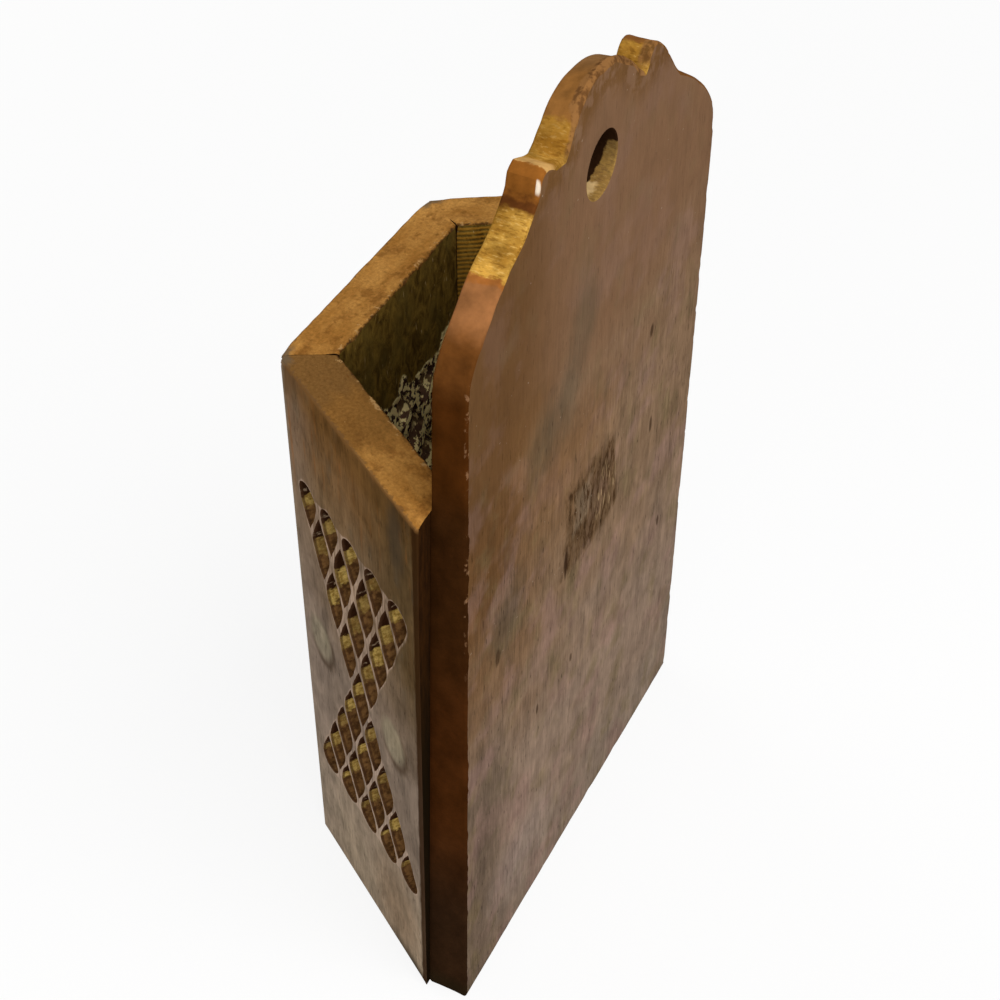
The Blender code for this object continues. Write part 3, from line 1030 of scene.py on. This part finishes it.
def cell_material(name, seed):
    """Inside a pierced cell: painted shade on the upper part, a bare ochre band and a brown lower part, and dark
    towards the box.
    """
    shade = Shade(name)
    number, up, _ = shade.split("own")
    rag = shade.sway((1.3, 1.3, 1), seed, 0.2)

    def by_cell(rate, amount):
        """A number of its own for each cell, up to that amount from 0."""
        return (number * rate).sine() * amount

    level = up + rag + by_cell(12.9, 0.08)
    pale = shade.noise((1.2, 1.2, 0.9), seed + 1, roughness=0.7)
    brown = Colour(shade, (82, 55, 30))
    brown.blotch((128, 92, 54), 1, (0.35, 0.65), (0.5, 1.5, 2.5), seed + 2)
    bare = Colour(shade, (148, 116, 54))
    bare.tint(pale.ease(0.35, 0.65), (214, 182, 102))
    bare.tint(by_cell(78.2, 0.3) + 0.3, brown)
    floor = by_cell(31.4, 0.05) + 0.35
    colour = Colour(shade, brown)
    colour.tint((level - floor).ease(0, 0.04), bare)
    # Painted shade on the cell's upper walls, which face down.
    colour.tint(level.ease(0.53, 0.57), (50, 28, 15))
    saw_line = abs(level - 0.66).ease(0.04, 0.008) * pale.ease(0.42, 0.55)
    colour.blotch((186, 160, 130), saw_line * 0.5, (0.52, 0.56), 4, seed + 5, detail=1)
    lip = (shade.depth + rag * 0.8).ease(0.75, 0.35)
    colour.tint(lip * 0.75, (64, 42, 27))
    colour.tint(shade.depth.ease(4.5, 7) * 0.8, (84, 62, 50))
    colour.blotch((238, 218, 154), shade.depth.ease(6.8, 8), (0.5, 0.58), (1.5, 1.2, 1.7), seed + 6, roughness=0.6)
    grit = shade.noise(0.8, seed + 4, roughness=0.7)
    colour.dim(grit.spread(0.28))
    return shade.done(colour, 0.7, grit * 0.12)


def hole_material():
    """The bored hanging hole: bare ochre near the back, dark towards the front and at the top, partly stain and partly
    painted shade.
    """
    shade = Shade("hanging_hole_bored")
    rag = shade.sway(1.4, 71, 2.6)
    place = shade.depth + rag * 0.7 + (shade.up - HOLE_CENTRE.y / MM) * 0.25
    height = shade.up + rag * 0.4
    wood = sawn_end_colour(shade, 72)
    # Painted shade: the bare wood darker higher up in the bore.
    wood.dim(height.ease(182, 178) * 0.22 + 0.62)
    wood.tint(0.3, (98, 90, 72))
    pale_tip = height.ease(176.1, 175.7) * place.ease(-0.2, 0.6)
    wood.tint(pale_tip * 0.6, (198, 168, 120))
    # Dark deep in the bore and in its upper part: partly dark stain, partly painted shade.
    colour = Colour(shade, (38, 22, 11))
    colour.tint(place.ease(2.2, 1.8) * height.ease(182.9, 182.4), wood)
    grit = shade.noise(0.8, 74)
    colour.dim(grit.spread(0.3))
    return shade.done(colour, 0.65, grit * 0.12)


def end_material():
    """Dark stained ends and undersides of the walls."""
    shade = Shade("wall_end_stained")
    grit = shade.noise((1.2, 1.2, 6), 81, detail=4, roughness=0.65)
    colour = Colour(shade, (36, 20, 9))
    colour.tint(grit.ease(0.3, 0.7), (54, 31, 12))
    colour.tint(shade.up.ease(118, 72) * 0.85, (22, 17, 9))
    return shade.done(colour, 0.5, grit * 0.08)


def floor_material():
    """The bare floor board inside the box."""
    shade = Shade("floor_sawn")
    lines = shade.noise((14, 3, 0.9), 91, detail=4, roughness=0.65)
    colour = Colour(shade, (74, 52, 26))
    colour.tint(lines.ease(0.3, 0.7), (118, 86, 46))
    colour.blotch((60, 48, 30), 0.5, (0.5, 0.75), 6, 92, detail=4)
    return shade.done(colour, 0.8, lines * 0.15)


inside_front = inside_material("front_inside_rough", 101, 0)
inside_sides = inside_material("side_inside_sawn", 111, 0.5)
ends = end_material()
cells = cell_material("cells_sawn", 121)
side_face = wall_face_material("side_outer_stained", 131, True)
side_rim = rim_material("side_rim_sanded", 141, True, dark_corner=True)
far_rim = rim_material("far_rim_sanded", 181, True)
front_rim = rim_material("front_rim_sanded", 171, False)
front_face = wall_face_material("front_outer_stained", 161, False)

pieces = {
    "back_board": make_back_board(
        [board_back_material(), board_front_material(), board_edge_material(), hole_material()]
    ),
    "front_wall": make_front_wall([front_face, inside_front, front_rim, cells, ends]),
    "right_wall": make_side_wall("pierced_side_right", 1, [side_face, inside_sides, side_rim, cells, ends], 41),
    "left_wall": make_side_wall("pierced_side_left", -1, [side_face, inside_sides, far_rim, cells, ends], 53),
    "bottom_board": make_floor_board([floor_material(), ends, ends]),
}
for node, piece in pieces.items():
    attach(piece, "root")
    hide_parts(node)

# Floor, light and camera

LAMP_TARGET = Vector((0, 0, 0.1))
CAMERA_PLACE = (0.24484, 0.12852, 0.353)
CAMERA_RIGHT = Vector((-0.45385, 0.89105, 0.00635))
CAMERA_UP = Vector((-0.61057, -0.31616, 0.72612))


def emptied_tree(owner):
    owner.use_nodes = True
    owner.node_tree.nodes.clear()
    return owner.node_tree


def make_ground():
    """A pale floor that takes the shadow. The camera sees it as white further out."""
    reach = 3
    corners = [(-reach, -reach, 0), (reach, -reach, 0), (reach, reach, 0), (-reach, reach, 0)]
    mesh = bpy.data.meshes.new("ground")
    mesh.from_pydata(corners, [], [(0, 1, 2, 3)])
    material = bpy.data.materials.new("ground")
    mesh.materials.append(material)
    tree = emptied_tree(material)
    place = add_node(tree, "NewGeometry", {}, "Position")
    distance = add_node(tree, "VectorMath", {0: place}, "Value", operation="LENGTH")
    fading = {"Value": distance, "From Min": 0.15, "From Max": 0.9, "To Min": 0.85, "To Max": 1}
    fade = add_node(tree, "MapRange", fading, interpolation_type="SMOOTHSTEP")
    seen = add_node(tree, "LightPath", {}, "Is Camera Ray")
    share = add_node(tree, "Math", {0: seen, 1: fade}, operation="MULTIPLY")
    paint = add_node(tree, "BsdfDiffuse", {"Color": (0.8, 0.8, 0.79, 1)})
    glow = add_node(tree, "Emission", {"Color": (1, 1, 1, 1)})
    mix = add_node(tree, "MixShader", {0: share, 1: paint, 2: glow})
    add_node(tree, "OutputMaterial", {"Surface": mix})
    add_to_scene("ground", mesh)


def make_world():
    """Soft even light, and a white backdrop for the camera."""
    world = bpy.data.worlds.new("studio")
    bpy.context.scene.world = world
    tree = emptied_tree(world)
    seen = add_node(tree, "LightPath", {}, "Is Camera Ray")
    light, backdrop = [
        add_node(tree, "Background", {"Color": (1, 1, 1, 1), "Strength": strength}) for strength in (0.36, 1)
    ]
    mix = add_node(tree, "MixShader", {0: seen, 1: light, 2: backdrop})
    add_node(tree, "OutputWorld", {"Surface": mix})


def make_lamp(name, place, size, power):
    light = bpy.data.lights.new(name, "AREA")
    light.energy = power
    light.size = size
    lamp = add_to_scene(name, light)
    lamp.location = place
    lamp.rotation_euler = (LAMP_TARGET - Vector(place)).to_track_quat("-Z", "Y").to_euler()


def make_camera():
    camera = bpy.data.cameras.new("camera")
    camera.lens = 66.72
    camera.sensor_width = 36
    camera.clip_start = 0.01
    eye = add_to_scene("camera", camera)
    turn = Matrix((CAMERA_RIGHT, CAMERA_UP, CAMERA_RIGHT.cross(CAMERA_UP))).transposed().to_4x4()
    turn.translation = CAMERA_PLACE
    eye.matrix_world = turn
    bpy.context.scene.camera = eye


make_ground()
make_world()
make_lamp("key", (0.15, 0.5, 0.85), 0.7, 8)
make_lamp("fill", (0.75, 0.1, 0.45), 0.7, 2.4)
make_lamp("front", (-0.2, -0.9, 0.5), 0.8, 3)
make_camera()
bpy.context.scene.view_settings.view_transform = "Standard"
